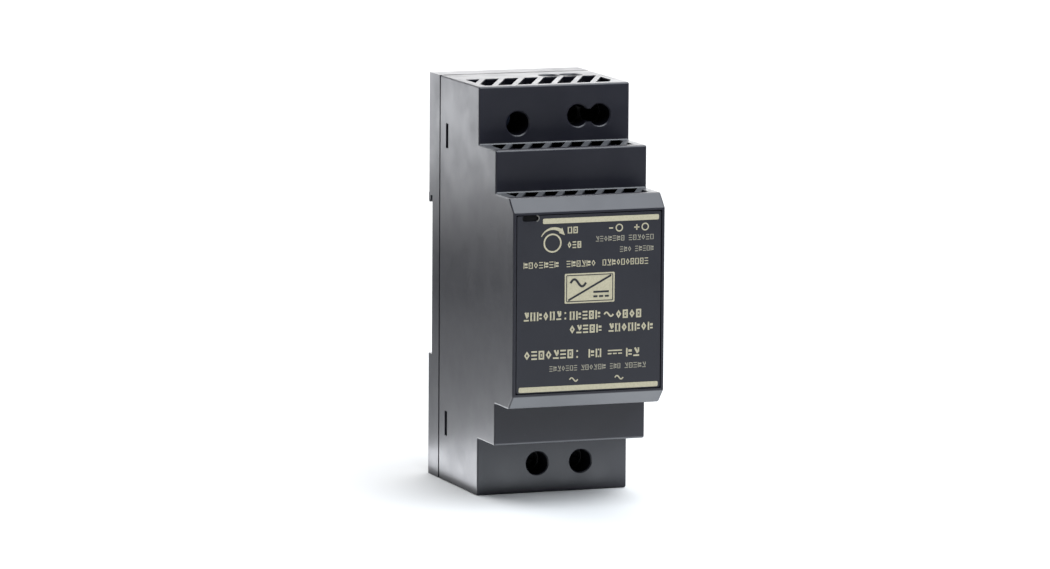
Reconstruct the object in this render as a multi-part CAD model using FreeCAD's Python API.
import FreeCAD, Part
import math
import os

# Stepped two-module power supply for a 35 mm top-hat rail, in millimetres.
# X is the width, with +X to the right as seen from the front. Y runs from the front (-Y) to the rail (+Y).
# Z is up. The origin is the middle of the rail, on the plane where the rail's lips rest against the case.

# ---- driving dimensions ----------------------------------------------------------------------
CASE_WIDTH = 35.0
CASE_HEIGHT = 90.0
CASE_DEPTH = 54.5
CASE_MID_Z = 0.0            # the middle of the case, above the middle of the rail
WALL = 2.0
HOOK_DEPTH = 2.4            # from the rail seat back to the rearmost face
REAR_CASE_DEPTH = 7.6       # from the rearmost face to the seam
STEP1_DEPTH = 32.4          # from the rearmost face to the front of the terminal step
STEP2_DEPTH = 43.2          # to the front of the middle step
CHAMFER_DEPTH = 51.6        # to where the nose starts to slope
STEP1_HALF = CASE_HEIGHT / 2
STEP2_HALF = 32.3           # half heights of the middle step, the nose and its flat face
NOSE_HALF = 23.0
FACE_HALF = 20.0

RAIL_LIP = 1.0              # sheet thickness of the rail
RECESS_TOP = 17.7
RECESS_BOTTOM = -17.8
HOOK_TIP = 16.1             # lower end of the fixed hook
HOOK_GAP = 1.25             # from the seat to the hook, which lets the lip in
HOOK_LEAD_Y = 0.45          # slope inside the hook's tip
HOOK_LEAD_Z = 0.7
HOOK_BEVEL_Y = 0.3          # bevel outside it
HOOK_BEVEL_Z = 0.4

# ---- small features of the shells ------------------------------------------------------------
EDGE_ROUND = 0.5            # on the steps' front edges
NOSE_ROUND = 1.0            # where the slope begins
FACE_ROUND = 0.4
SIDE_ROUND = 0.35           # along the two side faces
INNER_ROUND = 0.3
GROOVE = 0.7                # shadow groove along the seam
POCKET_INNER_X = 1.0        # two shallow pockets in the back face, above the rail
POCKET_OUTER_X = 13.5
POCKET_DEPTH = 0.6
POCKET_EDGE = 5.0
TONGUE = 0.9                # the rear case's lip inside the housing
TONGUE_HEIGHT = 1.5
SEAT_INSET = 1.0            # the ledge behind the lip
SEAT_THICK = 1.2
SLIP = 0.1                  # clearance between shells
WINDOW_Z = 32.05            # snap windows in the sides, from the middle of the case
WINDOW_HEIGHT = 5.5
WINDOW_DEPTH = 1.6
WINDOW_BEFORE_SEAM = 4.3
SNAP_WIDTH = 5.0
SNAP_THICK = 1.2
SNAP_SINK = 0.35            # from the side face to a snap lug's tip
SNAP_PLAY = 0.12            # between a lug and the ends of its window
SNAP_LEAD = 0.9             # from a lug's foot to its arm's end
SNAP_BEVEL = 0.4
SNAP_ROOT = 3.0             # how far an arm starts behind the seam
RIB_Z = 25.0                # inner ribs on the side walls
RIB_DEPTH = 1.2
RIB_THICK = 1.5
RIB_CLEAR = 3.0             # from the terminal step's front to the ribs
BOARD_PLAY = 0.05
HOLE_LEAD = 0.25            # lead-in cones of the screwdriver and wire holes
WIRE_LEAD = 0.3

# ---- allowances ------------------------------------------------------------------------------
TINY = 1e-6
TOUCH = 0.01                # how far a cut starts outside the face it opens
OVER = 1.0                  # how far a cutting tool runs past a face
BITE = 0.5                  # how far a joined piece runs into its neighbour

# ---- ventilation slots -----------------------------------------------------------------------
SLOT_PITCH = 4.57
SLOT_WIDTH = 3.15
SLOT_LEAN = 0.5             # sideways run of a slot for each millimetre of its length
SLOT_COUNT = 9
END_RIM = 2.2               # from the terminal step's front to the slots of the end faces
END_SLOT_BACK = 14.9
LEDGE_RIM = 2.0             # from a ledge's front edge to its slots
NOSE_RIM = 1.3
END_FIRST_X = -13.8         # right front corner of a row's first whole slot
LEDGE_FIRST_X = -15.45
NOSE_FIRST_X = -15.55
LEDGE_UNDER = 1.65          # how far a ledge's slots run on beneath the wall behind them
SLOT_MARGIN = 0.2           # from the side wall's inner face to the slots

# ---- screw terminals -------------------------------------------------------------------------
OUTPUT_PITCH = 5.08
OUTPUT_MID_X = 8.05
OUTPUT_Z = 38.0             # screw axis, from the middle of the case
INPUT_PITCH = 10.16
INPUT_MID_X = 1.6
INPUT_Z = -38.5
WIRE_Y = -12.0              # axis of the wire entries
WIRE_HOLE_R = 2.3
OUTPUT_ACCESS_R = 2.42
OUTPUT_NECK = 2.9           # height of the neck that joins the two output holes
INPUT_ACCESS_R = 2.5
TRIM_ACCESS_R = 2.6
TRIM_X = -8.5
TRIM_Z = 36.7
GUIDE_WALL = 0.8            # tubes that lead a screwdriver from the holes to the screws
TUBE_BITE = 0.3
SCREW_GUIDE_Y = -23.95
TRIM_GUIDE_Y = -18.0

BOARD_BACK_Y = -6.0
BOARD_THICK = 1.6
BOARD_HALF_X = 14.0
BOARD_HALF_Z = 41.7
UPPER_POST_Z = 23.0         # posts that the board rests on
LOWER_POST_Z = -24.0
BOARD_POST_R = 1.6
BOARD_POST_INSET = 2.5
BOARD_ROUND = 1.0
SOLDER_R = 0.9
SOLDER_TIP_R = 0.35
SOLDER_HEIGHT = 1.0

BLOCK_FRONT_Y = -23.8
BLOCK_HALF_Z = 4.5
SCREW_R = 1.5
SCREW_TIP_Y = -14.2
HEAD_R = 2.0
HEAD_HEIGHT = 2.1
SHOULDER = 0.8              # wall of the block under the screw's head
CLAMP_TRAVEL = 2.5
CLAMP_HALF_X = 2.1
CLAMP_HALF_Z = 2.5
CLAMP_BACK_Y = -9.4
CLAMP_FRONT_Y = -17.4
CLAMP_WALL = 0.5
CLAMP_FLOOR = 1.0
CLAMP_TOP = 1.2
BAR_BACK_Y = -13.2
BAR_THICK = 0.8
BAR_HALF_X = 1.3
PIN_HALF_X = 0.5
PIN_OFFSET = 0.9            # from the clamp's side to the middle of the solder pin
PIN_HALF_Z = 0.4
PIN_REACH = 1.2             # past the board's back
PIN_HOLE_R = 0.8
CLAMP_PLAY = 0.15
CLAMP_ROUND = 0.5
HEAD_PLAY = 0.03
HEAD_BEVEL = 0.25
HEAD_RELIEF = 0.25          # round the head, in the block
SCREW_SLOT_HALF = 0.32
SCREW_SLOT_DEPTH = 0.9
CROSS_HALF = 1.3
CROSS_DEPTH = 1.1
TIP_LENGTH = 0.4
BLOCK_MARGIN = 3.05         # from the outer pole to the block's end
BLOCK_BEVEL = 0.5
WIRE_HALF = 1.9             # the square mouth for the wire
PIN_POCKET_HALF = 1.4
PIN_POCKET_LOW = 0.55

# ---- rail latch ------------------------------------------------------------------------------
LATCH_TRAVEL = 3.2
LATCH_HALF = 9.3
FLANGE_HALF = 10.8
LATCH_FRONT_Y = -2.2
LATCH_BACK_Y = 2.2
FLANGE_THICK = 1.2
LATCH_SLIP = 0.2
LATCH_WINDOW_HALF = 3.2
SPRING_TOP = -20.4
SPRING_BOTTOM = -31.5
SPRING_Y = -0.2
SPRING_R = 1.65             # to the middle of the wire
SPRING_WIRE = 0.5
SPRING_TURNS = 7.0
BOSS_BOTTOM = -34.0
POST_R = 1.1
POST_LENGTH = 2.5
CHANNEL_WALL = 1.5          # beside the latch's channel
CHANNEL_FLOOR = 1.6         # in front of it
BOSS_HALF = 2.8
BOSS_SINK = 0.3
LATCH_HOOK_TIP = -15.8      # upper end of the latch's hook
LATCH_HOOK_SLOPE = 1.4
FLANGE_LOW = 8.0            # from the latch's lower end to its guide flange
FLANGE_HIGH = 0.8
TOOL_SLOT_HALF = 2.75
TOOL_SLOT_HEIGHT = 1.8
GRIP_RIBS = 3
GRIP_DEPTH = 0.4
GRIP_HEIGHT = 0.5
GRIP_LOW = 0.6              # from the screwdriver slot to the grip grooves
GRIP_HALF = 7.8
TOOL_SLOT_LOW = 1.2
SPRING_PLAY = 0.02

# ---- front face ------------------------------------------------------------------------------
PLATE_HALF_X = 16.6
PLATE_HALF_Z = 19.3
PLATE_THICK = 0.4
PLATE_SINK = 0.1            # from the housing's face to the plate's
PLATE_GAP = 0.2             # all round the plate
LIGHT_X = -13.45            # status window, from the middle of the face
LIGHT_Z = 18.75
LIGHT_LENGTH = 3.9
LIGHT_HEIGHT = 1.3
PLATE_ROUND = 0.4
LENS_SINK = 0.35            # from the housing's face to the window's lens
LENS_SLIP = 0.03
LENS_FLANGE = 0.4           # past the slot at each end
LENS_FLANGE_THICK = 0.6


# ---- derived planes --------------------------------------------------------------------------
SIDE = CASE_WIDTH / 2
TOP = CASE_MID_Z + CASE_HEIGHT / 2
BOTTOM = CASE_MID_Z - CASE_HEIGHT / 2
BACK_Y = HOOK_DEPTH
SEAM_Y = BACK_Y - REAR_CASE_DEPTH
STEP1_Y = BACK_Y - STEP1_DEPTH
STEP2_Y = BACK_Y - STEP2_DEPTH
CHAMFER_Y = BACK_Y - CHAMFER_DEPTH
FRONT_Y = BACK_Y - CASE_DEPTH
INNER_SIDE = SIDE - WALL
CAVITY_FRONT_Y = CLAMP_FRONT_Y - CLAMP_TRAVEL - CLAMP_PLAY
HEAD_BACK_Y = CAVITY_FRONT_Y - SHOULDER - HEAD_PLAY
HEAD_FRONT_Y = HEAD_BACK_Y - HEAD_HEIGHT
PLATE_BACK_Y = FRONT_Y + PLATE_SINK + PLATE_THICK
CHANNEL_FLOOR_Y = LATCH_FRONT_Y - LATCH_SLIP
CHANNEL_INNER_Y = CHANNEL_FLOOR_Y - CHANNEL_FLOOR
WINDOW_Y = SEAM_Y - WINDOW_BEFORE_SEAM
SLOT_SIDE = INNER_SIDE - SLOT_MARGIN
RIB_FRONT_Y = STEP1_Y + RIB_CLEAR
BOARD_Y = BOARD_BACK_Y - BOARD_THICK
RIB_BACK_Y = BOARD_Y - BOARD_PLAY
LATCH_BOTTOM = BOTTOM + LATCH_TRAVEL + LATCH_SLIP
LATCH_TOP = RECESS_BOTTOM - LATCH_SLIP


# ---- helpers ---------------------------------------------------------------------------------
def vec(x, y, z):
    return FreeCAD.Vector(x, y, z)


def box(x0, x1, y0, y1, z0, z1):
    """A block between two corners, given in any order."""
    low = vec(min(x0, x1), min(y0, y1), min(z0, z1))
    return Part.makeBox(abs(x1 - x0), abs(y1 - y0), abs(z1 - z0), low)


def rod_y(x, z, r, y0, y1):
    return Part.makeCylinder(r, abs(y1 - y0), vec(x, min(y0, y1), z), vec(0, 1, 0))


def rod_x(y, z, r, x0, x1):
    return Part.makeCylinder(r, abs(x1 - x0), vec(min(x0, x1), y, z), vec(1, 0, 0))


def rod_z(x, y, r, z0, z1):
    return Part.makeCylinder(r, abs(z1 - z0), vec(x, y, min(z0, z1)), vec(0, 0, 1))


def cone_y(x, z, r0, r1, y0, y1):
    """A cone whose radius is r0 at y0 and r1 at y1."""
    way = 1 if y1 > y0 else -1
    return Part.makeCone(r0, r1, abs(y1 - y0), vec(x, y0, z), vec(0, way, 0))


def cone_z(x, y, r0, r1, z0, z1):
    way = 1 if z1 > z0 else -1
    return Part.makeCone(r0, r1, abs(z1 - z0), vec(x, y, z0), vec(0, 0, way))


def prism_x(corners, x0, x1):
    """A solid between x0 and x1 whose outline is a list of (y, z) corners."""
    points = [vec(x0, y, z) for y, z in corners]
    face = Part.Face(Part.makePolygon(points + points[:1]))
    return face.extrude(vec(x1 - x0, 0, 0))


def prism_z(corners, z0, z1):
    points = [vec(x, y, z0) for x, y in corners]
    face = Part.Face(Part.makePolygon(points + points[:1]))
    return face.extrude(vec(0, 0, z1 - z0))


def rounded_wire(corners, radii, x):
    """A closed wire in the plane of one x, with a tangent arc of the given radius at each (y, z) corner."""
    points = [vec(x, y, z) for y, z in corners]
    count = len(points)
    starts, ends, arcs = [], [], []
    for i in range(count):
        here = points[i]
        before = (points[i - 1] - here).normalize()
        after = (points[(i + 1) % count] - here).normalize()
        half = before.getAngle(after) / 2
        run = radii[i] / math.tan(half) if radii[i] else 0.0
        start, end = here + before * run, here + after * run
        starts.append(start)
        ends.append(end)
        if radii[i]:
            bisector = (before + after).normalize()
            middle = here + bisector * (radii[i] / math.sin(half) - radii[i])
            arcs.append(Part.Arc(start, middle, end).toShape())
        else:
            arcs.append(None)
    edges = []
    for i in range(count):
        if arcs[i]:
            edges.append(arcs[i])
        edges.append(Part.LineSegment(ends[i], starts[(i + 1) % count]).toShape())
    return Part.Wire(edges)


def edges_along_y(shape):
    return [e for e in shape.Edges if abs(e.Vertexes[0].Y - e.Vertexes[-1].Y) > TINY]


def edges_along_z(shape):
    return [e for e in shape.Edges if abs(e.Vertexes[0].Z - e.Vertexes[-1].Z) > TINY]


def edges_in_plane(shape, y):
    """The edges that lie wholly at one y."""
    return [e for e in shape.Edges if abs(e.BoundBox.YMin - y) < TINY and abs(e.BoundBox.YMax - y) < TINY]


def cut_all(shape, tools):
    return shape.cut(tools) if tools else shape


def fuse_all(shapes):
    return shapes[0].multiFuse(shapes[1:]).removeSplitter() if len(shapes) > 1 else shapes[0]


def group(shapes):
    """Separate solids that share one node."""
    return Part.makeCompound(shapes)


def mid(value):
    """A height given from the middle of the case, in the part's own frame."""
    return CASE_MID_Z + value


def both(function):
    """The function's results for the right (+1) and left (-1) side."""
    return [function(1), function(-1)]


def pole_xs(middle, pitch):
    return [middle - pitch / 2, middle + pitch / 2]


OUTPUT_XS = pole_xs(OUTPUT_MID_X, OUTPUT_PITCH)
INPUT_XS = pole_xs(INPUT_MID_X, INPUT_PITCH)


# ---- shells ----------------------------------------------------------------------------------
def stepped_corners(inset, back_y):
    """The case's side outline in (y, z), moved inwards by inset, from the top back corner round the front."""
    slope = inset * math.tan(math.radians(22.5))
    upper = [
        (back_y, STEP1_HALF - inset),
        (STEP1_Y + inset, STEP1_HALF - inset),
        (STEP1_Y + inset, STEP2_HALF - inset),
        (STEP2_Y + inset, STEP2_HALF - inset),
        (STEP2_Y + inset, NOSE_HALF - inset),
        (CHAMFER_Y + slope, NOSE_HALF - inset),
        (FRONT_Y + inset, FACE_HALF - slope),
    ]
    lower = [(y, -z) for y, z in reversed(upper)]
    return [(y, mid(z)) for y, z in upper + lower]


def stepped_block():
    """The housing's outside, solid, with rounded edges."""
    corner_rounds = [0, EDGE_ROUND, INNER_ROUND, EDGE_ROUND, INNER_ROUND, NOSE_ROUND, FACE_ROUND]
    radii = corner_rounds + corner_rounds[::-1]
    wire = rounded_wire(stepped_corners(0, SEAM_Y), radii, -SIDE)
    block = Part.Face(wire).extrude(vec(CASE_WIDTH, 0, 0))
    rims = []
    for edge in block.Edges:
        xs = [v.X for v in edge.Vertexes]
        ys = [v.Y for v in edge.Vertexes]
        on_side = max(xs) - min(xs) < TINY and abs(abs(xs[0]) - SIDE) < TINY
        on_seam = min(ys) > SEAM_Y - TINY
        if on_side and not on_seam:
            rims.append(edge)
    return block.makeFillet(SIDE_ROUND, rims)


def slot_row(front_y, back_y, first_x, z0, z1):
    """Leaning ventilation slots between two heights, cut off straight at the left and right."""
    run = (back_y - front_y) * SLOT_LEAN
    slots = []
    for k in range(-1, SLOT_COUNT - 1):
        right = first_x + k * SLOT_PITCH
        left = right - SLOT_WIDTH
        corners = [(left, front_y), (right, front_y), (right + run, back_y), (left + run, back_y)]
        slot = prism_z(corners, z0, z1)
        kept = slot.common(box(-SLOT_SIDE, SLOT_SIDE, front_y, back_y, z0, z1))
        slots += kept.Solids
    return slots


def vents():
    """The slots of the end faces and of both ledges, above and below."""
    rows = (
        # front of the slots, back of the slots, right corner of the first slot, half height of the face
        (STEP1_Y + END_RIM, STEP1_Y + END_SLOT_BACK, END_FIRST_X, STEP1_HALF),
        (STEP2_Y + LEDGE_RIM, STEP1_Y + LEDGE_UNDER, LEDGE_FIRST_X, STEP2_HALF),
        (CHAMFER_Y + NOSE_RIM, STEP2_Y + LEDGE_UNDER, NOSE_FIRST_X, NOSE_HALF),
    )
    slots = []
    for front_y, back_y, first_x, half in rows:
        for sign in (1, -1):
            outer = mid(sign * half)
            inner = mid(sign * (half - WALL - BITE))
            slots += slot_row(front_y, back_y, first_x, min(outer, inner), max(outer, inner))
    return slots


def driver_spots():
    """Every screwdriver hole as (x, z, radius, inner end of its guide)."""
    spots = [(x, mid(OUTPUT_Z), OUTPUT_ACCESS_R, SCREW_GUIDE_Y) for x in OUTPUT_XS]
    spots += [(x, mid(INPUT_Z), INPUT_ACCESS_R, SCREW_GUIDE_Y) for x in INPUT_XS]
    spots.append((TRIM_X, mid(TRIM_Z), TRIM_ACCESS_R, TRIM_GUIDE_Y))
    return spots


def output_neck(grow, y0, y1):
    """The web between the two output holes, or the space in it."""
    half = OUTPUT_NECK / 2 + grow
    return box(OUTPUT_XS[0], OUTPUT_XS[1], y0, y1, mid(OUTPUT_Z) - half, mid(OUTPUT_Z) + half)


def driver_guides():
    """Tubes behind the terminal steps, in line with the holes."""
    start = STEP1_Y + WALL - TUBE_BITE
    tubes = [rod_y(x, z, r + GUIDE_WALL, start, end) for x, z, r, end in driver_spots()]
    return tubes + [output_neck(GUIDE_WALL, start, SCREW_GUIDE_Y)]


def front_holes():
    """Screwdriver holes through the terminal steps and guides, with a small lead-in at each mouth."""
    mouth = STEP1_Y - TOUCH
    holes = [output_neck(0, mouth, SCREW_GUIDE_Y + OVER)]
    for x, z, r, end in driver_spots():
        holes.append(rod_y(x, z, r, mouth, end + OVER))
        holes.append(cone_y(x, z, r + HOLE_LEAD, r, mouth, STEP1_Y + HOLE_LEAD))
    return holes


def wire_holes():
    """Round wire entries through the top and bottom walls."""
    holes = []
    for xs, sign in ((OUTPUT_XS, 1), (INPUT_XS, -1)):
        face = mid(sign * STEP1_HALF)
        for x in xs:
            holes.append(rod_z(x, WIRE_Y, WIRE_HOLE_R, face + sign * TOUCH, face - sign * (WALL + BITE)))
            mouth = cone_z(x, WIRE_Y, WIRE_HOLE_R + WIRE_LEAD, WIRE_HOLE_R, face, face - sign * WIRE_LEAD)
            holes.append(mouth)
    return holes


def snap_windows():
    holes = []
    for side in (1, -1):
        for z in (WINDOW_Z, -WINDOW_Z):
            low = mid(z) - WINDOW_HEIGHT / 2
            x0, x1 = side * (INNER_SIDE - BITE), side * (SIDE + TOUCH)
            y0, y1 = WINDOW_Y - WINDOW_DEPTH / 2, WINDOW_Y + WINDOW_DEPTH / 2
            holes.append(box(x0, x1, y0, y1, low, low + WINDOW_HEIGHT))
    return holes


def light_slot(y0, y1, grow=0.0):
    """The status window's round-ended slot, through a stretch of Y."""
    r = LIGHT_HEIGHT / 2 + grow
    reach = LIGHT_LENGTH / 2 - LIGHT_HEIGHT / 2
    z = mid(LIGHT_Z)
    ends = [rod_y(LIGHT_X - reach, z, r, y0, y1), rod_y(LIGHT_X + reach, z, r, y0, y1)]
    return fuse_all(ends + [box(LIGHT_X - reach, LIGHT_X + reach, y0, y1, z - r, z + r)])


def front_housing():
    """The stepped front shell: vents, holes, snap windows, nameplate recess and inner ribs."""
    shell = stepped_block()
    cavity = prism_x(stepped_corners(WALL, SEAM_Y + 1), -INNER_SIDE, INNER_SIDE)
    shell = shell.cut(cavity)
    shell = fuse_all([shell] + driver_guides())
    tools = vents() + front_holes() + wire_holes() + snap_windows()
    recess_x, recess_z = PLATE_HALF_X + PLATE_GAP, PLATE_HALF_Z + PLATE_GAP
    tools.append(box(-recess_x, recess_x, FRONT_Y - 1, PLATE_BACK_Y, mid(-recess_z), mid(recess_z)))
    tools.append(light_slot(FRONT_Y - 1, FRONT_Y + WALL + 1))
    shell = cut_all(shell, tools)
    ribs = [shell]
    for side in (1, -1):
        for z in (RIB_Z, -RIB_Z):
            inner, outer = side * (INNER_SIDE - RIB_DEPTH), side * (INNER_SIDE + BITE)
            low = mid(z) - RIB_THICK / 2
            ribs.append(box(inner, outer, RIB_BACK_Y, RIB_FRONT_Y, low, low + RIB_THICK))
    return fuse_all(ribs)


def nameplate():
    """A thin printed plate that lies in the housing's recess, with the status window's slot."""
    plate = box(-PLATE_HALF_X, PLATE_HALF_X, FRONT_Y + PLATE_SINK, PLATE_BACK_Y,
                mid(-PLATE_HALF_Z), mid(PLATE_HALF_Z))
    plate = plate.makeFillet(PLATE_ROUND, edges_along_y(plate))
    return plate.cut(light_slot(FRONT_Y - 1, FRONT_Y + 1))


def status_window():
    """A clear lens in the slot, held by a flange behind the front wall."""
    behind = FRONT_Y + WALL
    lens = light_slot(FRONT_Y + LENS_SINK, behind + LENS_SLIP, -LENS_SLIP)
    reach = LIGHT_LENGTH / 2 + LENS_FLANGE
    left = max(LIGHT_X - reach, -INNER_SIDE + LENS_SLIP)
    flange = box(left, LIGHT_X + reach, behind, behind + LENS_FLANGE_THICK,
                 mid(LIGHT_Z) - LIGHT_HEIGHT, mid(LIGHT_Z) + LENS_SINK)
    return fuse_all([lens, flange])


def rear_tray():
    """The rear case's outer block with its pocket, rail recess and latch channel."""
    block = box(-SIDE, SIDE, SEAM_Y, BACK_Y, BOTTOM, TOP)
    block = block.makeFillet(SIDE_ROUND, edges_in_plane(block, BACK_Y))
    inner_top, inner_bottom = TOP - WALL, BOTTOM + WALL
    pocket_back = BACK_Y - WALL
    seat_inner = -WALL
    channel_side = FLANGE_HALF + LATCH_SLIP + CHANNEL_WALL
    cuts = [
        box(-INNER_SIDE, INNER_SIDE, SEAM_Y - OVER, seat_inner, inner_bottom, inner_top),
        box(-INNER_SIDE, INNER_SIDE, seat_inner, pocket_back, RECESS_TOP + WALL, inner_top),
    ]
    block = cut_all(block, cuts)
    for side in (1, -1):
        x0, x1 = side * channel_side, side * INNER_SIDE
        block = block.cut(box(x0, x1, seat_inner - TOUCH, pocket_back, inner_bottom, RECESS_BOTTOM - WALL))
    hump = box(-channel_side, channel_side, CHANNEL_INNER_Y, seat_inner, BOTTOM, RECESS_BOTTOM + WALL)
    block = fuse_all([block, hump])
    recess = box(-SIDE - 1, SIDE + 1, 0, BACK_Y + 1, RECESS_BOTTOM, RECESS_TOP)
    flange_x, neck_x = FLANGE_HALF + LATCH_SLIP, LATCH_HALF + LATCH_SLIP
    neck_y = LATCH_FRONT_Y + FLANGE_THICK + LATCH_SLIP
    low, high = BOTTOM - OVER, RECESS_BOTTOM + TOUCH
    channel = [
        box(-flange_x, flange_x, CHANNEL_FLOOR_Y, neck_y, low, high),
        box(-neck_x, neck_x, CHANNEL_FLOOR_Y, BACK_Y + OVER, low, high),
    ]
    return cut_all(block, [recess] + channel)


def fixed_hook():
    """The ledge above the rail that reaches down behind its upper lip."""
    root = RECESS_TOP + BITE
    corners = [
        (HOOK_GAP, root),
        (HOOK_GAP, HOOK_TIP + HOOK_LEAD_Z),
        (HOOK_GAP + HOOK_LEAD_Y, HOOK_TIP),
        (BACK_Y - HOOK_BEVEL_Y, HOOK_TIP),
        (BACK_Y, HOOK_TIP + HOOK_BEVEL_Z),
        (BACK_Y, root),
    ]
    return prism_x(corners, -SIDE, SIDE)


def seam_tongue():
    """The rear case's lip, which sits inside the front housing's open edge."""
    outer_x, outer_z = INNER_SIDE - SLIP, STEP1_HALF - WALL - SLIP
    ring = box(-outer_x, outer_x, SEAM_Y - TONGUE_HEIGHT, SEAM_Y + BITE, mid(-outer_z), mid(outer_z))
    hollow_x, hollow_z = outer_x - TONGUE, outer_z - TONGUE
    depth = TONGUE_HEIGHT + OVER
    hollow = box(-hollow_x, hollow_x, SEAM_Y - depth, SEAM_Y + depth, mid(-hollow_z), mid(hollow_z))
    ring = ring.cut(hollow)
    back = box(-SIDE + SEAT_INSET, SIDE - SEAT_INSET, SEAM_Y, SEAM_Y + SEAT_THICK,
               BOTTOM + SEAT_INSET, TOP - SEAT_INSET)
    return fuse_all([ring, back.cut(hollow)])


def snap_arms():
    """Four arms with a lug that catches in the housing's side windows."""
    arms = []
    outer = INNER_SIDE - SLIP
    inner = outer - SNAP_THICK
    lug_tip = SIDE - SNAP_SINK
    lug_front = WINDOW_Y - WINDOW_DEPTH / 2 + SNAP_PLAY
    lug_back = WINDOW_Y + WINDOW_DEPTH / 2 - SNAP_PLAY
    arm_end = lug_front - SNAP_LEAD
    root = SEAM_Y + SNAP_ROOT
    for side in (1, -1):
        for z in (WINDOW_Z, -WINDOW_Z):
            z0, z1 = mid(z) - SNAP_WIDTH / 2, mid(z) + SNAP_WIDTH / 2
            corners = [
                (side * inner, root),
                (side * outer, root),
                (side * outer, lug_back),
                (side * lug_tip, lug_back),
                (side * lug_tip, lug_front + SNAP_SINK),
                (side * outer, lug_front),
                (side * outer, arm_end + SNAP_BEVEL),
                (side * (outer - SNAP_BEVEL), arm_end),
                (side * inner, arm_end),
            ]
            arms.append(prism_z(corners, z0, z1))
    return arms


def rear_case():
    """The back shell: rail seat, fixed hook, latch channel, spring boss, board posts and snap arms."""
    tray = rear_tray()
    outside = box(-SIDE - OVER, SIDE + OVER, SEAM_Y - OVER, SEAM_Y + GROOVE, BOTTOM - OVER, TOP + OVER)
    core = box(-SIDE + GROOVE, SIDE - GROOVE, SEAM_Y - 2 * OVER, SEAM_Y + 2 * OVER,
               BOTTOM + GROOVE, TOP - GROOVE)
    tray = tray.cut(outside.cut(core))
    boss = box(-BOSS_HALF, BOSS_HALF, CHANNEL_FLOOR_Y - BITE, LATCH_BACK_Y - BOSS_SINK,
               BOSS_BOTTOM, SPRING_BOTTOM)
    post = rod_z(0, SPRING_Y, POST_R, SPRING_BOTTOM - BITE, SPRING_BOTTOM + POST_LENGTH)
    pieces = [tray, fixed_hook(), seam_tongue(), boss, post] + snap_arms()
    for side in (1, -1):
        x = side * (BOARD_HALF_X - BOARD_POST_INSET)
        pieces.append(rod_y(x, mid(UPPER_POST_Z), BOARD_POST_R, BOARD_BACK_Y, BACK_Y - WALL + BITE))
        pieces.append(rod_y(x, mid(LOWER_POST_Z), BOARD_POST_R, BOARD_BACK_Y, CHANNEL_INNER_Y + BITE))
    shell = fuse_all(pieces)
    pockets = both(lambda side: box(side * POCKET_INNER_X, side * POCKET_OUTER_X,
                                    BACK_Y - POCKET_DEPTH, BACK_Y + OVER,
                                    RECESS_TOP + POCKET_EDGE, TOP - POCKET_EDGE))
    return cut_all(shell, pockets)


# ---- rail latch ------------------------------------------------------------------------------
def rail_latch():
    """The sliding foot: guided plate, sprung window, hook over the lower lip and a slot for a screwdriver."""
    plate = box(-LATCH_HALF, LATCH_HALF, LATCH_FRONT_Y, LATCH_BACK_Y, LATCH_BOTTOM, LATCH_TOP)
    flange = box(-FLANGE_HALF, FLANGE_HALF, LATCH_FRONT_Y, LATCH_FRONT_Y + FLANGE_THICK,
                 LATCH_BOTTOM + FLANGE_LOW, LATCH_TOP - FLANGE_HIGH)
    hook_front = RAIL_LIP + LATCH_SLIP
    hook = prism_x([
        (hook_front, LATCH_TOP - BITE),
        (hook_front, LATCH_HOOK_TIP),
        (hook_front + HOOK_BEVEL_Y, LATCH_HOOK_TIP),
        (LATCH_BACK_Y, LATCH_HOOK_TIP - LATCH_HOOK_SLOPE),
        (LATCH_BACK_Y, LATCH_TOP - BITE),
    ], -LATCH_HALF, LATCH_HALF)
    body = fuse_all([plate, flange, hook])
    front, back = LATCH_FRONT_Y - OVER, LATCH_BACK_Y + OVER
    window = box(-LATCH_WINDOW_HALF, LATCH_WINDOW_HALF, front, back, BOSS_BOTTOM - LATCH_SLIP, SPRING_TOP)
    slot_low = LATCH_BOTTOM + TOOL_SLOT_LOW
    slot_high = slot_low + TOOL_SLOT_HEIGHT
    tool_slot = box(-TOOL_SLOT_HALF, TOOL_SLOT_HALF, front, back, slot_low, slot_high)
    cuts = [window, tool_slot]
    for k in range(GRIP_RIBS):
        z = slot_high + GRIP_LOW + 2 * GRIP_HEIGHT * k
        cuts.append(box(-GRIP_HALF, GRIP_HALF, LATCH_BACK_Y - GRIP_DEPTH, back, z, z + GRIP_HEIGHT))
    body = cut_all(body, cuts)
    post = rod_z(0, SPRING_Y, POST_R, SPRING_TOP - POST_LENGTH, SPRING_TOP + BITE)
    return fuse_all([body, post])


def latch_spring():
    """A compression coil between the rear case's boss and the top of the latch's window."""
    r = SPRING_WIRE / 2
    low, high = SPRING_BOTTOM + r + SPRING_PLAY, SPRING_TOP - r - SPRING_PLAY
    helix = Part.makeHelix((high - low) / SPRING_TURNS, high - low, SPRING_R)
    section = Part.Wire(Part.makeCircle(r, vec(SPRING_R, 0, 0), vec(0, 1, 0)))
    coil = Part.Wire(helix).makePipeShell([section], True, True)
    coil.translate(vec(0, SPRING_Y, low))
    return coil


# ---- screw terminals -------------------------------------------------------------------------
def pin_height(z, entry):
    """The middle of a pole's solder pin, from the height of its screw."""
    return z - entry * (CLAMP_HALF_Z + PIN_OFFSET)


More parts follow.
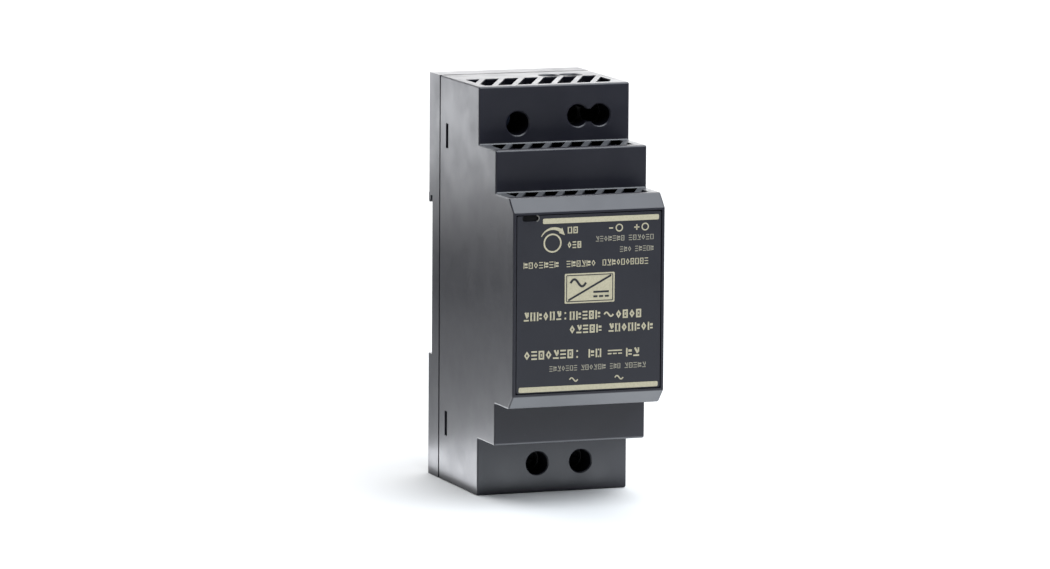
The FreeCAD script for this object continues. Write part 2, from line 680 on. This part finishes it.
def terminal_block(xs, screw_z, entry):
    """An insulating body over all its poles. entry is +1 where wires come from above, -1 from below."""
    z = mid(screw_z)
    body = box(xs[0] - BLOCK_MARGIN, xs[-1] + BLOCK_MARGIN, BOARD_Y, BLOCK_FRONT_Y,
               z - BLOCK_HALF_Z, z + BLOCK_HALF_Z)
    body = body.makeChamfer(BLOCK_BEVEL, edges_in_plane(body, BLOCK_FRONT_Y))
    cavity_x, cavity_z = CLAMP_HALF_X + SLIP, CLAMP_HALF_Z + 2 * SLIP
    bar_front = BAR_BACK_Y - BAR_THICK - SLIP
    tools = []
    for x in xs:
        tools.append(box(x - cavity_x, x + cavity_x, CLAMP_BACK_Y + 2 * SLIP, CAVITY_FRONT_Y,
                         z - cavity_z, z + cavity_z))
        tools.append(rod_y(x, z, SCREW_R + SLIP, CAVITY_FRONT_Y + SLIP, BLOCK_FRONT_Y))
        tools.append(rod_y(x, z, HEAD_R + HEAD_RELIEF, CAVITY_FRONT_Y - SHOULDER, BLOCK_FRONT_Y - OVER))
        tools.append(box(x - WIRE_HALF, x + WIRE_HALF, WIRE_Y - WIRE_HALF, WIRE_Y + WIRE_HALF,
                         z, z + entry * (BLOCK_HALF_Z + OVER)))
        pin_z = pin_height(z, entry)
        tools.append(box(x - PIN_POCKET_HALF, x + PIN_POCKET_HALF, BOARD_Y + OVER, bar_front,
                         pin_z - entry * PIN_POCKET_LOW, pin_z + entry * PIN_OFFSET))
    return cut_all(body, tools)


def contact_bar(x, screw_z, entry):
    """The fixed bar that the wire is clamped against, bent down into a solder pin."""
    z = mid(screw_z)
    bar_front = BAR_BACK_Y - BAR_THICK
    pin_z = pin_height(z, entry)
    low, high = pin_z - PIN_HALF_Z, pin_z + PIN_HALF_Z
    bar_end = z + entry * (CLAMP_HALF_Z + CLAMP_PLAY)
    bar = box(x - BAR_HALF_X, x + BAR_HALF_X, bar_front, BAR_BACK_Y, pin_z - entry * PIN_HALF_Z, bar_end)
    leg = box(x - BAR_HALF_X, x + BAR_HALF_X, bar_front, BOARD_Y - 2 * TOUCH, low, high)
    pin = box(x - PIN_HALF_X, x + PIN_HALF_X, bar_front, BOARD_BACK_Y + PIN_REACH, low, high)
    return fuse_all([bar, leg, pin])


def terminal_screw(x, screw_z):
    """A captive clamp screw with a slot and a cross in its head."""
    z = mid(screw_z)
    head = rod_y(x, z, HEAD_R, HEAD_FRONT_Y, HEAD_BACK_Y)
    head = head.makeChamfer(HEAD_BEVEL, edges_in_plane(head, HEAD_FRONT_Y))
    tip_start = SCREW_TIP_Y - TIP_LENGTH
    shank = rod_y(x, z, SCREW_R, HEAD_BACK_Y - BITE, tip_start)
    tip = cone_y(x, z, SCREW_R, SCREW_R - TIP_LENGTH, tip_start, SCREW_TIP_Y)
    screw = fuse_all([head, shank, tip])
    reach = HEAD_R + OVER
    half = SCREW_SLOT_HALF
    front = HEAD_FRONT_Y - OVER
    slot = box(x - reach, x + reach, front, HEAD_FRONT_Y + SCREW_SLOT_DEPTH, z - half, z + half)
    cross = box(x - half, x + half, front, HEAD_FRONT_Y + CROSS_DEPTH, z - CROSS_HALF, z + CROSS_HALF)
    return cut_all(screw, [slot, cross])


def wire_clamp(x, screw_z):
    """The steel cage that the screw draws towards its head, shown open."""
    z = mid(screw_z)
    cage = box(x - CLAMP_HALF_X, x + CLAMP_HALF_X, CLAMP_FRONT_Y, CLAMP_BACK_Y,
               z - CLAMP_HALF_Z, z + CLAMP_HALF_Z)
    cage = cage.makeFillet(CLAMP_ROUND, edges_along_z(cage))
    inner = CLAMP_HALF_X - CLAMP_WALL
    reach = CLAMP_HALF_Z + OVER
    window_front = CLAMP_FRONT_Y + CLAMP_TOP
    window = box(x - inner, x + inner, window_front, CLAMP_BACK_Y - CLAMP_FLOOR, z - reach, z + reach)
    thread = rod_y(x, z, SCREW_R + SLIP / 2, CLAMP_FRONT_Y - OVER, window_front + BITE)
    return cut_all(cage, [window, thread])


# ---- voltage trimmer -------------------------------------------------------------------------
TRIM_BODY_HEIGHT = 6.0
TRIM_BODY_HALF = 4.7
TRIM_BODY_ROUND = 0.5
TRIM_COLLAR_R = 3.4
TRIM_COLLAR_HEIGHT = 1.5
TRIM_SHAFT_Y = -17.0
TRIM_SHAFT_R = 2.1
TRIM_SHAFT_FOOT = 1.6       # from the board to the shaft's end
TRIM_SHAFT_BEVEL = 0.3
TRIM_SLOT_HALF = 0.35
TRIM_SLOT_DEPTH = 1.2
TRIM_PLAY = 0.06
TRIM_BODY_FRONT_Y = BOARD_Y - TRIM_BODY_HEIGHT


def trimmer_body():
    z = mid(TRIM_Z)
    body = box(TRIM_X - TRIM_BODY_HALF, TRIM_X + TRIM_BODY_HALF, BOARD_Y, TRIM_BODY_FRONT_Y,
               z - TRIM_BODY_HALF, z + TRIM_BODY_HALF)
    body = body.makeFillet(TRIM_BODY_ROUND, edges_along_y(body))
    collar_front = TRIM_BODY_FRONT_Y - TRIM_COLLAR_HEIGHT
    collar = rod_y(TRIM_X, z, TRIM_COLLAR_R, TRIM_BODY_FRONT_Y + BITE, collar_front)
    bore_back = BOARD_Y - TRIM_SHAFT_FOOT + SLIP
    bore = rod_y(TRIM_X, z, TRIM_SHAFT_R + TRIM_PLAY, bore_back, collar_front - OVER)
    return fuse_all([body, collar]).cut(bore)


def trimmer_shaft():
    """The turning shaft, with a crossed slot for a small screwdriver."""
    z = mid(TRIM_Z)
    shaft = rod_y(TRIM_X, z, TRIM_SHAFT_R, BOARD_Y - TRIM_SHAFT_FOOT, TRIM_SHAFT_Y)
    shaft = shaft.makeChamfer(TRIM_SHAFT_BEVEL, edges_in_plane(shaft, TRIM_SHAFT_Y))
    y0, y1 = TRIM_SHAFT_Y - OVER, TRIM_SHAFT_Y + TRIM_SLOT_DEPTH
    reach = TRIM_SHAFT_R + OVER
    half = TRIM_SLOT_HALF
    slot = box(TRIM_X - reach, TRIM_X + reach, y0, y1, z - half, z + half)
    cross = box(TRIM_X - half, TRIM_X + half, y0, y1, z - CROSS_HALF, z + CROSS_HALF)
    return cut_all(shaft, [slot, cross])


# ---- boards ----------------------------------------------------------------------------------
# leads that come through the main board, as (x, z) from the middle of the case
BULK_LEADS = ((5.5, -18.5), (13.5, -18.5))
OUTPUT_CAP_LEADS = ((-1.0, 26.5), (2.4, 26.5), (7.9, 26.5), (11.3, 26.5))
FILTER_LEADS = ((-2.0, -29.4), (8.0, -29.4))
SMALL_LEAD_XS = (-11.0, -6.0)
SMALL_LEAD_ZS = (26.0, 20.0, 14.2, 16.6, -12.8, -29.0)
INPUT_LEAD_XS = (12.0, -12.1, -8.8)
INPUT_LEAD_ZS = (-41.0, -35.0)
BOBBIN_PIN_X = -4.0
BOBBIN_PIN_PITCH = 3.7
BOBBIN_PIN_ZS = (9.6, -7.6)
PACKAGE_PITCH = 2.54
RECTIFIER_LEAD = (4.2, 15.0)
TRANSISTOR_LEAD = (-10.0, -19.0)
TRIM_LEAD_PITCH = 2.5
TRIM_LEAD_Z = 33.2


def lead_spots():
    """Every lead's place on the main board."""
    spots = list(BULK_LEADS + OUTPUT_CAP_LEADS + FILTER_LEADS)
    spots += [(x, z) for x in SMALL_LEAD_XS for z in SMALL_LEAD_ZS]
    spots += [(x, z) for x in INPUT_LEAD_XS for z in INPUT_LEAD_ZS]
    spots += [(BOBBIN_PIN_X + BOBBIN_PIN_PITCH * k, z) for k in range(4) for z in BOBBIN_PIN_ZS]
    for k in range(3):
        for x, z in (RECTIFIER_LEAD, TRANSISTOR_LEAD):
            spots.append((x + PACKAGE_PITCH * k, z))
        spots.append((TRIM_X + TRIM_LEAD_PITCH * (k - 1), TRIM_LEAD_Z))
    return spots


def main_board():
    board = box(-BOARD_HALF_X, BOARD_HALF_X, BOARD_Y, BOARD_BACK_Y, mid(-BOARD_HALF_Z), mid(BOARD_HALF_Z))
    board = board.makeFillet(BOARD_ROUND, edges_along_y(board))
    holes = []
    for xs, screw_z, entry in ((OUTPUT_XS, OUTPUT_Z, 1), (INPUT_XS, INPUT_Z, -1)):
        for x in xs:
            pin_z = pin_height(mid(screw_z), entry)
            holes.append(rod_y(x, pin_z, PIN_HOLE_R, BOARD_Y - OVER, BOARD_BACK_Y + OVER))
    return cut_all(board, holes)


def solder_joints():
    """One small cone on the back of the board for each lead."""
    tip_y = BOARD_BACK_Y + SOLDER_HEIGHT
    return group([cone_y(x, mid(z), SOLDER_R, SOLDER_TIP_R, BOARD_BACK_Y, tip_y) for x, z in lead_spots()])


CONTROL_X = -15.3
CONTROL_THICK = 1.2
CONTROL_FACE = CONTROL_X + CONTROL_THICK
# the upright board's outline in (y, z)
CONTROL_CORNERS = (
    (-7.2, -17.0), (-7.2, 19.0), (-38.0, 19.0), (-38.0, 20.4),
    (-47.0, 20.4), (-47.0, 2.0), (-40.0, -5.0), (-40.0, -17.0),
)
HEADER_PINS = 7
HEADER_PITCH = 2.54
HEADER_HALF = 9.0
HEADER_THICK = 2.5
NOTCH_LOW = -7.9
NOTCH_HEIGHT = 0.5
LED_R = 1.5
LED_X = CONTROL_FACE + LED_R + 0.05
LED_BACK_Y = -45.0
LED_FLANGE = 0.8
LED_LENS_GAP = 0.9          # from the housing's inner face to the light's tip
CHIP_Y = -30.0
CHIP_Z = 4.0
CHIP_HALF_Y = 2.0
CHIP_HALF_Z = 2.5
CHIP_LIFT = 0.15
CHIP_TOP = 1.7
CHIP_BEVEL = 0.2
CHIP_LEG_PITCH = 1.27
CHIP_LEG_Z = -1.9
CHIP_LEG_HALF = 0.2
CHIP_LEG_THICK = 0.4
CHIP_LEG_INNER = 1.8
CHIP_LEG_OUTER = 3.0


def control_board():
    """The upright board along the left wall, with the status light on its front edge."""
    return prism_x([(y, mid(z)) for y, z in CONTROL_CORNERS], CONTROL_X, CONTROL_FACE)


def board_header():
    """The pin strip that joins the two boards."""
    outer = CONTROL_FACE + HEADER_THICK
    strip = box(CONTROL_FACE, outer, BOARD_Y, BOARD_Y - HEADER_THICK, mid(-HEADER_HALF), mid(HEADER_HALF))
    notches = []
    for k in range(HEADER_PINS):
        low = mid(NOTCH_LOW + HEADER_PITCH * k)
        notches.append(box(outer - BITE, outer + OVER, BOARD_Y + OVER, BOARD_Y - HEADER_THICK - OVER,
                           low, low + NOTCH_HEIGHT))
    return cut_all(strip, notches)


def status_led():
    z = mid(LIGHT_Z)
    front = FRONT_Y + WALL + LED_LENS_GAP
    barrel_r = LED_R - CHIP_LIFT
    flange = rod_y(LED_X, z, LED_R, LED_BACK_Y, LED_BACK_Y - LED_FLANGE)
    barrel = rod_y(LED_X, z, barrel_r, LED_BACK_Y - LED_FLANGE / 2, front)
    tip = [e for e in barrel.Edges if abs(e.BoundBox.YMax - front) < TINY]
    return fuse_all([flange, barrel.makeFillet(barrel_r - CHIP_LIFT, tip)])


def controller_chip():
    y, z = CHIP_Y, mid(CHIP_Z)
    body = box(CONTROL_FACE + CHIP_LIFT, CONTROL_FACE + CHIP_TOP, y - CHIP_HALF_Y, y + CHIP_HALF_Y,
               z - CHIP_HALF_Z, z + CHIP_HALF_Z)
    body = body.makeChamfer(CHIP_BEVEL, body.Edges)
    legs = []
    for k in range(4):
        leg_z = z + CHIP_LEG_Z + CHIP_LEG_PITCH * k
        for way in (1, -1):
            legs.append(box(CONTROL_FACE, CONTROL_FACE + CHIP_LEG_THICK,
                            y + way * CHIP_LEG_INNER, y + way * CHIP_LEG_OUTER,
                            leg_z - CHIP_LEG_HALF, leg_z + CHIP_LEG_HALF))
    return fuse_all([body] + legs)


# ---- power parts -----------------------------------------------------------------------------
TRANSFORMER_X = 1.6
TRANSFORMER_Z = 1.0
CORE_HALF_X = 11.0
CORE_HALF_Z = 3.3
CORE_LIFT = 3.2
CORE_HEIGHT = 22.0
CORE_YOKE = 3.0
CORE_CENTRE = 2.9
CORE_WINDOW = 8.5
CORE_PARTING_HALF = 0.06
CORE_PARTING_DEPTH = 0.4
CORE_BACK_Y = BOARD_Y - CORE_LIFT
CORE_FRONT_Y = CORE_BACK_Y - CORE_HEIGHT
BOBBIN_HALF_X = 3.7
BOBBIN_HALF_Z = 4.2
BOBBIN_PLAY = 0.1
BOBBIN_FLANGE = 0.9
BOBBIN_FLANGE_R = 8.3
BOBBIN_FOOT_HALF = 7.5
BOBBIN_FOOT_INNER = 4.4
BOBBIN_FOOT_OUTER = 9.2
WINDING_R = 8.0
WINDING_PLAY = 0.05


def transformer_core():
    """A pair of E halves, closed into one ferrite block with two windows."""
    x, z = TRANSFORMER_X, mid(TRANSFORMER_Z)
    block = box(x - CORE_HALF_X, x + CORE_HALF_X, CORE_BACK_Y, CORE_FRONT_Y, z - CORE_HALF_Z, z + CORE_HALF_Z)
    reach = CORE_HALF_Z + OVER
    windows = both(lambda side: box(x + side * CORE_CENTRE, x + side * CORE_WINDOW,
                                    CORE_BACK_Y - CORE_YOKE, CORE_FRONT_Y + CORE_YOKE, z - reach, z + reach))
    middle = (CORE_BACK_Y + CORE_FRONT_Y) / 2
    parting = both(lambda side: box(x + side * CORE_WINDOW, x + side * (CORE_HALF_X + OVER),
                                    middle - CORE_PARTING_HALF, middle + CORE_PARTING_HALF,
                                    z + CORE_HALF_Z - CORE_PARTING_DEPTH, z + reach))
    return cut_all(block, windows + parting)


def transformer_bobbin():
    x, z = TRANSFORMER_X, mid(TRANSFORMER_Z)
    low = CORE_BACK_Y - CORE_YOKE - BOBBIN_PLAY
    high = CORE_FRONT_Y + CORE_YOKE + BOBBIN_PLAY
    tube = box(x - BOBBIN_HALF_X, x + BOBBIN_HALF_X, low, high, z - BOBBIN_HALF_Z, z + BOBBIN_HALF_Z)
    plates = [rod_y(x, z, BOBBIN_FLANGE_R, low, low - BOBBIN_FLANGE),
              rod_y(x, z, BOBBIN_FLANGE_R, high, high + BOBBIN_FLANGE)]
    feet = [box(x - BOBBIN_FOOT_HALF, x + BOBBIN_FOOT_HALF, BOARD_Y, low - BOBBIN_FLANGE,
                z + way * BOBBIN_FOOT_INNER, z + way * BOBBIN_FOOT_OUTER) for way in (1, -1)]
    half_x, half_z = CORE_CENTRE + BOBBIN_PLAY, CORE_HALF_Z + BOBBIN_PLAY
    limb = box(x - half_x, x + half_x, low + OVER, high - OVER, z - half_z, z + half_z)
    return fuse_all([tube] + plates + feet).cut(limb)


def transformer_windings():
    x, z = TRANSFORMER_X, mid(TRANSFORMER_Z)
    end = CORE_YOKE + BOBBIN_PLAY + BOBBIN_FLANGE + WINDING_PLAY
    low, high = CORE_BACK_Y - end, CORE_FRONT_Y + end
    half_x, half_z = BOBBIN_HALF_X + WINDING_PLAY, BOBBIN_HALF_Z + WINDING_PLAY
    wound = rod_y(x, z, WINDING_R, low, high)
    return wound.cut(box(x - half_x, x + half_x, low + OVER, high - OVER, z - half_z, z + half_z))


# cans as (x, z, radius, height)
BULK_CAN = (7.0, -18.5, 6.25, 25.0)
OUTPUT_CANS = ((0.7, 26.4, 3.95, 20.0), (9.6, 26.4, 3.95, 20.0))
CAN_ROUND = 0.5
CAN_GROOVE_R = 0.5
CAN_GROOVE_LIFT = 2.2
CAN_GROOVE_OUT = 0.25       # from the can's side to the middle of its rolled groove
CAN_SCORE_HALF = 0.15
CAN_SCORE_DEPTH = 0.2
CAN_SCORE_SHARE = 0.6


def can_capacitor(x, case_z, r, height):
    """A radial electrolytic can: rolled groove at its base and a rounded, scored top."""
    z = mid(case_z)
    front = BOARD_Y - height
    can = rod_y(x, z, r, BOARD_Y, front)
    can = can.makeFillet(CAN_ROUND, edges_in_plane(can, front))
    groove_at = vec(x, BOARD_Y - CAN_GROOVE_LIFT, z)
    groove = Part.makeTorus(r + CAN_GROOVE_OUT, CAN_GROOVE_R, groove_at, vec(0, 1, 0))
    half, reach = CAN_SCORE_HALF, r * CAN_SCORE_SHARE
    y0, y1 = front - OVER, front + CAN_SCORE_DEPTH
    score = [box(x - reach, x + reach, y0, y1, z - half, z + half),
             box(x - half, x + half, y0, y1, z - reach, z + reach)]
    return cut_all(can, [groove] + score)


def bulk_capacitor():
    return can_capacitor(*BULK_CAN)


def output_capacitors():
    return group([can_capacitor(*can) for can in OUTPUT_CANS])


CHOKE_X = -8.9
CHOKE_Z = -29.0
CHOKE_LIFT = 0.6
CHOKE_OUTER = 3.6
CHOKE_INNER = 1.9
CHOKE_HEIGHT = 4.0
CHOKE_PLAY = 0.05
WIRE_OUTER = 4.3
WIRE_INNER = 1.2
WIRE_HEIGHT = 5.3
WIRE_GAP_HALF = 0.7         # between the two windings
INDUCTOR_X = -8.5
INDUCTOR_Z = 26.0
INDUCTOR_R = 3.9
INDUCTOR_WAIST_R = 3.3
INDUCTOR_HEIGHT = 10.0
INDUCTOR_FLANGE = 1.6


def tube_y(x, z, outer, inner, y0, y1):
    """A tube along Y. y0 is nearer to the board."""
    return rod_y(x, z, outer, y0, y1).cut(rod_y(x, z, inner, y0 + OVER, y1 - OVER))


def choke_core():
    foot = BOARD_Y - CHOKE_LIFT
    return tube_y(CHOKE_X, mid(CHOKE_Z), CHOKE_OUTER, CHOKE_INNER, foot, foot - CHOKE_HEIGHT)


def choke_windings():
    """Two copper windings, one on each half of the ring."""
    x, z = CHOKE_X, mid(CHOKE_Z)
    sleeve = tube_y(x, z, WIRE_OUTER, WIRE_INNER, BOARD_Y, BOARD_Y - WIRE_HEIGHT)
    foot = BOARD_Y - CHOKE_LIFT
    core = tube_y(x, z, CHOKE_OUTER + CHOKE_PLAY, CHOKE_INNER - CHOKE_PLAY,
                  foot + CHOKE_PLAY, foot - CHOKE_HEIGHT - CHOKE_PLAY)
    reach = WIRE_OUTER + OVER
    halves = []
    for way in (1, -1):
        side = box(x + way * WIRE_GAP_HALF, x + way * reach, BOARD_Y + OVER, BOARD_Y - WIRE_HEIGHT - OVER,
                   z - reach, z + reach)
        halves.append(sleeve.common(side).cut(core))
    return group(halves)


def output_inductor():
    """A drum core with its winding between two flanges."""
    x, z = INDUCTOR_X, mid(INDUCTOR_Z)
    front = BOARD_Y - INDUCTOR_HEIGHT
    drum = rod_y(x, z, INDUCTOR_R, BOARD_Y, front)
    low, high = BOARD_Y - INDUCTOR_FLANGE, front + INDUCTOR_FLANGE
    waist = tube_y(x, z, INDUCTOR_R + OVER, INDUCTOR_WAIST_R, low, high)
    return drum.cut(waist)


# moulded boxes on the board, as (left, right, lower z, upper z, height, edge radius)
FILTER_BOX = (-3.5, 9.5, -31.9, -26.9, 11.0, 0.5)
FUSE_BOX = (10.2, 13.9, -41.5, -33.9, 7.5, 0.8)
BRIDGE_BOX = (-13.2, -5.0, -14.6, -11.2, 7.0, 0.4)


def moulded_box(x0, x1, z0, z1, height, r):
    """A box with rounded edges except at its foot."""
    body = box(x0, x1, BOARD_Y, BOARD_Y - height, mid(z0), mid(z1))
    edges = [e for e in body.Edges if min(v.Y for v in e.Vertexes) < BOARD_Y - TINY]
    return body.makeFillet(r, edges)


def line_filter_capacitor():
    return moulded_box(*FILTER_BOX)


def fuse():
    return moulded_box(*FUSE_BOX)


def bridge_rectifier():
    return moulded_box(*BRIDGE_BOX)


# coated discs: those with their axis along X as (left, right, z, radius)
THERMISTOR = (-13.8, -10.6, -38.3, 3.9)
VARISTOR = (-10.3, -7.3, -38.3, 3.7)
DISC_LIFT = 1.2
DISC_ROUND = 0.9
LEAD_R = 0.35
LEAD_SPREAD = 2.5
SAFETY_X = -9.0
SAFETY_R = 3.8
SAFETY_LOW = 18.4
SAFETY_HIGH = 21.4


def disc(x0, x1, case_z, r):
    """A coated disc that stands on two leads, with its axis along X."""
    y, z = BOARD_Y - DISC_LIFT - r, mid(case_z)
    body = rod_x(y, z, r, x0, x1)
    body = body.makeFillet(DISC_ROUND, body.Edges[:1] + body.Edges[2:3])
    middle = (x0 + x1) / 2
    leads = [rod_y(middle, z + way * LEAD_SPREAD, LEAD_R, BOARD_Y, y) for way in (1, -1)]
    return fuse_all([body] + leads)


def inrush_thermistor():
    return disc(*THERMISTOR)


def surge_varistor():
    return disc(*VARISTOR)


def safety_capacitor():
    """A coated ceramic disc with its axis along Z."""
    y = BOARD_Y - DISC_LIFT - SAFETY_R
    body = rod_z(SAFETY_X, y, SAFETY_R, mid(SAFETY_LOW), mid(SAFETY_HIGH))
    z = mid((SAFETY_LOW + SAFETY_HIGH) / 2)
    leads = [rod_y(SAFETY_X + way * LEAD_SPREAD, z, LEAD_R, BOARD_Y, y) for way in (1, -1)]
    return fuse_all([body] + leads)


OPTO_X0 = -13.2
OPTO_X1 = -8.6
OPTO_Z0 = 12.2
OPTO_Z1 = 17.9
OPTO_LIFT = 0.6
OPTO_TOP = 4.0
OPTO_BEVEL = 0.25
OPTO_LEG_INSET = 1.0
OPTO_LEG_HALF = 0.3
OPTO_LEG_TOP = 2.2
OPTO_LEG_THICK = 0.3


def optocoupler():
    body = box(OPTO_X0, OPTO_X1, BOARD_Y - OPTO_LIFT, BOARD_Y - OPTO_TOP, mid(OPTO_Z0), mid(OPTO_Z1))
    legs = []
    for x in (OPTO_X0 + OPTO_LEG_INSET, OPTO_X1 - OPTO_LEG_INSET):
        for low in (OPTO_Z0 - OPTO_LEG_THICK, OPTO_Z1):
            legs.append(box(x - OPTO_LEG_HALF, x + OPTO_LEG_HALF, BOARD_Y, BOARD_Y - OPTO_LEG_TOP,
                            mid(low), mid(low + OPTO_LEG_THICK)))
    return fuse_all([body.makeChamfer(OPTO_BEVEL, body.Edges)] + legs)


PACKAGE_HALF_X = 5.0
PACKAGE_LOW = 4.5           # the moulding's lower and upper end above the board
PACKAGE_HIGH = 13.8
TAB_HIGH = 20.0
TAB_THICK = 1.3
TAB_GAP = 0.02
PACKAGE_THICK = 4.4
TAB_HOLE_R = 1.8
TAB_HOLE_HEIGHT = 17.2
LEG_HALF = 0.4
LEG_INNER = 2.2
LEG_OUTER = 2.7
RECTIFIER_X = 6.8
TRANSISTOR_X = -7.4
RECTIFIER_FACE = 19.0
TRANSISTOR_FACE = -22.4
SINK_THICK = 1.3
SINK_LIFT = 1.5
SINK_FOOT_WIDTH = 1.5
SINK_FOOT_INSET = 0.8
SINK_FOOT_HEIGHT = 2.0
SINK_SLOT_HALF = 0.6
SINK_SLOT_DEPTH = 4.0
SINK_HOLE_R = 1.6
RECTIFIER_SINK = (0.2, 13.6, 27.0)      # left, right, height
TRANSISTOR_SINK = (-13.6, 0.0, 26.0)
HEAD_OUTER_R = 2.6
HEAD_TOP = 3.2
SHANK_R = 1.45
NUT_R = 3.0
NUT_THICK = 1.6
SHANK_END = 2.1
DRIVE_HALF = 0.4
DRIVE_FLOOR = 2.3
PACKAGE_SCREW_Y = BOARD_Y - TAB_HOLE_HEIGHT


def power_package(x, z_face, way):
    """A tab-mounted package whose metal tab lies on a heatsink face at z_face, facing way."""
    z = mid(z_face)
    x0, x1 = x - PACKAGE_HALF_X, x + PACKAGE_HALF_X
    back = z + way * TAB_GAP
    top = BOARD_Y - PACKAGE_HIGH
    body = box(x0, x1, BOARD_Y - PACKAGE_LOW, top, back, z + way * PACKAGE_THICK)
    tab = box(x0, x1, top, BOARD_Y - TAB_HIGH, back, z + way * TAB_THICK)
    hole = rod_z(x, PACKAGE_SCREW_Y, TAB_HOLE_R, z - TAB_THICK - OVER, z + TAB_THICK + OVER)
    leads = []
    for k in (-1, 0, 1):
        lead_x = x + k * PACKAGE_PITCH
        leads.append(box(lead_x - LEG_HALF, lead_x + LEG_HALF, BOARD_Y, BOARD_Y - PACKAGE_LOW - BITE,
                         z + way * LEG_INNER, z + way * LEG_OUTER))
    return fuse_all([body, tab.cut(hole)] + leads)


def heatsink(x0, x1, height, z0, z1):
    """A bent aluminium plate with two feet and three slots in its top."""
    top = BOARD_Y - height
    plate = box(x0, x1, BOARD_Y - SINK_LIFT, top, mid(z0), mid(z1))
    feet = [box(x, x + SINK_FOOT_WIDTH, BOARD_Y, BOARD_Y - SINK_FOOT_HEIGHT, mid(z0), mid(z1))
            for x in (x0 + SINK_FOOT_INSET, x1 - SINK_FOOT_INSET - SINK_FOOT_WIDTH)]
    slots = []
    for k in (1, 2, 3):
        x = x0 + (x1 - x0) * k / 4
        slots.append(box(x - SINK_SLOT_HALF, x + SINK_SLOT_HALF, top - OVER, top + SINK_SLOT_DEPTH,
                         mid(z0) - OVER, mid(z1) + OVER))
    return cut_all(fuse_all([plate] + feet), slots)


def package_screw(x, z_face, way):
    """A pan-head screw with its nut behind the heatsink, through the package's tab."""
    z = mid(z_face)
    y = PACKAGE_SCREW_Y
    head = rod_z(x, y, HEAD_OUTER_R, z + way * (TAB_THICK + TAB_GAP), z + way * HEAD_TOP)
    shank = rod_z(x, y, SHANK_R, z + way * (TAB_THICK + BITE), z - way * (SINK_THICK + SHANK_END))
    reach = HEAD_OUTER_R + OVER
    slot = box(x - reach, x + reach, y - DRIVE_HALF, y + DRIVE_HALF,
               z + way * DRIVE_FLOOR, z + way * (HEAD_TOP + OVER))
    corners = []
    for k in range(6):
        angle = math.radians(60 * k)
        corners.append((x + NUT_R * math.cos(angle), y + NUT_R * math.sin(angle)))
    nut_face = z - way * (SINK_THICK + TAB_GAP)
    nut = prism_z(corners, nut_face, nut_face - way * NUT_THICK)
    return cut_all(fuse_all([head, shank, nut]), [slot])


def sink_hole(x, z_face):
    reach = SINK_THICK + OVER
    return rod_z(x, PACKAGE_SCREW_Y, SINK_HOLE_R, mid(z_face) - reach, mid(z_face) + reach)


def output_rectifier():
    return power_package(RECTIFIER_X, RECTIFIER_FACE, -1)


def rectifier_heatsink():
    plate = heatsink(*RECTIFIER_SINK, RECTIFIER_FACE, RECTIFIER_FACE + SINK_THICK)
    return plate.cut(sink_hole(RECTIFIER_X, RECTIFIER_FACE))


def switching_transistor():
    return power_package(TRANSISTOR_X, TRANSISTOR_FACE, 1)


def transistor_heatsink():
    plate = heatsink(*TRANSISTOR_SINK, TRANSISTOR_FACE - SINK_THICK, TRANSISTOR_FACE)
    return plate.cut(sink_hole(TRANSISTOR_X, TRANSISTOR_FACE))


def package_screws():
    return group([
        package_screw(RECTIFIER_X, RECTIFIER_FACE, -1),
        package_screw(TRANSISTOR_X, TRANSISTOR_FACE, 1),
    ])


# ---- assembly --------------------------------------------------------------------------------
def terminal_nodes():
    """The two terminal blocks with their contacts, screws and clamps."""
    nodes = {}
    ends = (
        ("output", OUTPUT_XS, OUTPUT_Z, 1, ("negative", "positive")),
        ("input", INPUT_XS, INPUT_Z, -1, ("neutral", "live")),
    )
    for end, xs, screw_z, entry, poles in ends:
        nodes[end + "_terminal_block"] = terminal_block(xs, screw_z, entry)
        nodes[end + "_contacts"] = group([contact_bar(x, screw_z, entry) for x in xs])
        for x, pole in zip(xs, poles):
            nodes[end + "_screw_" + pole] = terminal_screw(x, screw_z)
            nodes[end + "_clamp_" + pole] = wire_clamp(x, screw_z)
    return nodes


def all_nodes():
    builders = [
        front_housing, rear_case, nameplate, status_window, rail_latch, latch_spring,
        trimmer_body, trimmer_shaft, main_board, solder_joints, control_board, board_header,
        status_led, controller_chip, transformer_core, transformer_bobbin, transformer_windings,
        bulk_capacitor, output_capacitors, choke_core, choke_windings, output_inductor,
        line_filter_capacitor, fuse, inrush_thermistor, surge_varistor, safety_capacitor,
        bridge_rectifier, optocoupler, output_rectifier, rectifier_heatsink,
        switching_transistor, transistor_heatsink, package_screws,
    ]
    nodes = {builder.__name__: builder() for builder in builders}
    nodes.update(terminal_nodes())
    return nodes


os.makedirs("parts", exist_ok=True)
for name, shape in all_nodes().items():
    solids = shape.Solids
    sound = bool(solids) and all(s.isValid() and s.isClosed() and s.Volume > 0 for s in solids)
    if not sound:
        print("not sound:", name)
    shape.exportStep("parts/" + name + ".step")
    print(f"{name}: {len(solids)} solid(s), {sum(s.Volume for s in solids):.1f} mm3")
